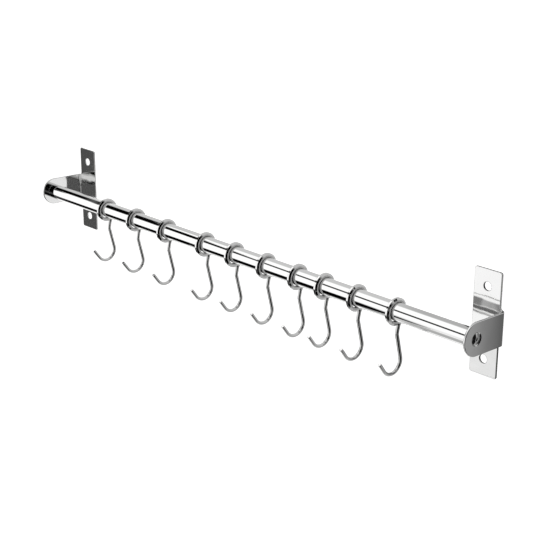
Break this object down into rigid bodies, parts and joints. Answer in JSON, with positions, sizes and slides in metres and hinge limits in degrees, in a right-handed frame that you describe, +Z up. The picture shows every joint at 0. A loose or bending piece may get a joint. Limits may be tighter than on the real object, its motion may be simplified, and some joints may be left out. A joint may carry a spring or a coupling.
{
  "type": "kitchen utensil rail",
  "caption": "Polished steel wall rail: a tube between folded screw-on brackets, with sliding rings that each carry a swinging wire hook for utensils.",
  "frame": {"origin": "on the wall plane, at the middle of the four wall screw holes, level with the axis of the tube", "axes": "+X along the rail towards its right end as seen from the room, +Y into the wall, +Z up"},
  "size_m": [0.61, 0.0549, 0.1041],
  "materials": {
    "tube_steel": "mirror-polished stainless steel tube",
    "bracket_steel": "polished stainless steel sheet",
    "ring_steel": "polished stainless steel, turned",
    "hook_steel": "polished stainless steel wire",
    "screw_steel": "bright stainless steel",
    "plug_steel": "plain turned steel"
  },
  "bodies": {
    "rail": {"rail_tube": "tube_steel", "left_bracket": "bracket_steel", "right_bracket": "bracket_steel", "left_end_plug": "plug_steel", "right_end_plug": "plug_steel", "left_end_screw": "screw_steel", "right_end_screw": "screw_steel"},
    "ring_01": {"slide_ring_01": "ring_steel"},
    "hook_01": {"hook_01": "hook_steel"},
    "ring_02": {"slide_ring_02": "ring_steel"},
    "hook_02": {"hook_02": "hook_steel"},
    "ring_03": {"slide_ring_03": "ring_steel"},
    "hook_03": {"hook_03": "hook_steel"},
    "ring_04": {"slide_ring_04": "ring_steel"},
    "hook_04": {"hook_04": "hook_steel"},
    "ring_05": {"slide_ring_05": "ring_steel"},
    "hook_05": {"hook_05": "hook_steel"},
    "ring_06": {"slide_ring_06": "ring_steel"},
    "hook_06": {"hook_06": "hook_steel"},
    "ring_07": {"slide_ring_07": "ring_steel"},
    "hook_07": {"hook_07": "hook_steel"},
    "ring_08": {"slide_ring_08": "ring_steel"},
    "hook_08": {"hook_08": "hook_steel"},
    "ring_09": {"slide_ring_09": "ring_steel"},
    "hook_09": {"hook_09": "hook_steel"},
    "ring_10": {"slide_ring_10": "ring_steel"},
    "hook_10": {"hook_10": "hook_steel"}
  },
  "joints": [
    {"name": "ring_slide_01", "type": "slide", "parent": "rail", "child": "ring_01", "axis": [1, 0, 0], "range_m": [-0.0975, 0.0237]},
    {"name": "hook_swing_01", "type": "hinge", "parent": "ring_01", "child": "hook_01", "pos_m": [-0.20059, -0.036, -0.00045], "axis": [1, 0, 0], "range_deg": [-195, 30]},
    {"name": "ring_slide_02", "type": "slide", "parent": "rail", "child": "ring_02", "axis": [1, 0, 0], "range_m": [-0.0237, 0.0239]},
    {"name": "hook_swing_02", "type": "hinge", "parent": "ring_02", "child": "hook_02", "pos_m": [-0.14817, -0.036, -0.00045], "axis": [1, 0, 0], "range_deg": [-195, 30]},
    {"name": "ring_slide_03", "type": "slide", "parent": "rail", "child": "ring_03", "axis": [1, 0, 0], "range_m": [-0.0239, 0.0286]},
    {"name": "hook_swing_03", "type": "hinge", "parent": "ring_03", "child": "hook_03", "pos_m": [-0.09544, -0.036, -0.00045], "axis": [1, 0, 0], "range_deg": [-195, 30]},
    {"name": "ring_slide_04", "type": "slide", "parent": "rail", "child": "ring_04", "axis": [1, 0, 0], "range_m": [-0.0286, 0.0196]},
    {"name": "hook_swing_04", "type": "hinge", "parent": "ring_04", "child": "hook_04", "pos_m": [-0.03333, -0.036, -0.00045], "axis": [1, 0, 0], "range_deg": [-195, 30]},
    {"name": "ring_slide_05", "type": "slide", "parent": "rail", "child": "ring_05", "axis": [1, 0, 0], "range_m": [-0.0196, 0.0201]},
    {"name": "hook_swing_05", "type": "hinge", "parent": "ring_05", "child": "hook_05", "pos_m": [0.01091, -0.036, -0.00045], "axis": [1, 0, 0], "range_deg": [-195, 30]},
    {"name": "ring_slide_06", "type": "slide", "parent": "rail", "child": "ring_06", "axis": [1, 0, 0], "range_m": [-0.0201, 0.019]},
    {"name": "hook_swing_06", "type": "hinge", "parent": "ring_06", "child": "hook_06", "pos_m": [0.05606, -0.036, -0.00045], "axis": [1, 0, 0], "range_deg": [-195, 30]},
    {"name": "ring_slide_07", "type": "slide", "parent": "rail", "child": "ring_07", "axis": [1, 0, 0], "range_m": [-0.019, 0.0146]},
    {"name": "hook_swing_07", "type": "hinge", "parent": "ring_07", "child": "hook_07", "pos_m": [0.09908, -0.036, -0.00045], "axis": [1, 0, 0], "range_deg": [-195, 30]},
    {"name": "ring_slide_08", "type": "slide", "parent": "rail", "child": "ring_08", "axis": [1, 0, 0], "range_m": [-0.0146, 0.0176]},
    {"name": "hook_swing_08", "type": "hinge", "parent": "ring_08", "child": "hook_08", "pos_m": [0.13332, -0.036, -0.00045], "axis": [1, 0, 0], "range_deg": [-195, 30]},
    {"name": "ring_slide_09", "type": "slide", "parent": "rail", "child": "ring_09", "axis": [1, 0, 0], "range_m": [-0.0176, 0.0202]},
    {"name": "hook_swing_09", "type": "hinge", "parent": "ring_09", "child": "hook_09", "pos_m": [0.17362, -0.036, -0.00045], "axis": [1, 0, 0], "range_deg": [-195, 30]},
    {"name": "ring_slide_10", "type": "slide", "parent": "rail", "child": "ring_10", "axis": [1, 0, 0], "range_m": [-0.0202, 0.079]},
    {"name": "hook_swing_10", "type": "hinge", "parent": "ring_10", "child": "hook_10", "pos_m": [0.21907, -0.036, -0.00045], "axis": [1, 0, 0], "range_deg": [-195, 30]}
  ]
}
